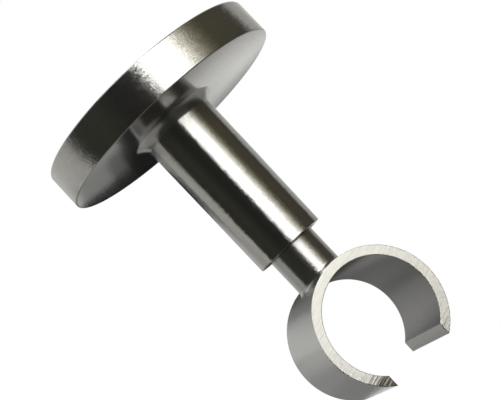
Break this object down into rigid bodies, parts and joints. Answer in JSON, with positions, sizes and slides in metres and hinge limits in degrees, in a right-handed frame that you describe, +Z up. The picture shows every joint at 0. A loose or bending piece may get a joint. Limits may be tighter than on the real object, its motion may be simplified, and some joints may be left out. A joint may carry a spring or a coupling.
{
  "type": "curtain pole bracket",
  "caption": "Brushed nickel ceiling bracket for a round curtain pole: a disc rose and tapered stem carry a slotted ring that holds the pole and lets gliders pass below.",
  "frame": {"origin": "middle of the rose's back, on the ceiling", "axes": "+Z up into the ceiling along the stem, +X along the pole that the ring holds"},
  "size_m": [0.0454, 0.0454, 0.0665],
  "materials": {
    "brushed_nickel": "zinc casting, brushed round its axis and nickel plated",
    "satin_nickel": "steel tube and neck, brushed and satin nickel plated"
  },
  "bodies": {
    "root": {"rose_and_stem": "brushed_nickel", "pole_ring": "satin_nickel"}
  },
  "joints": []
}
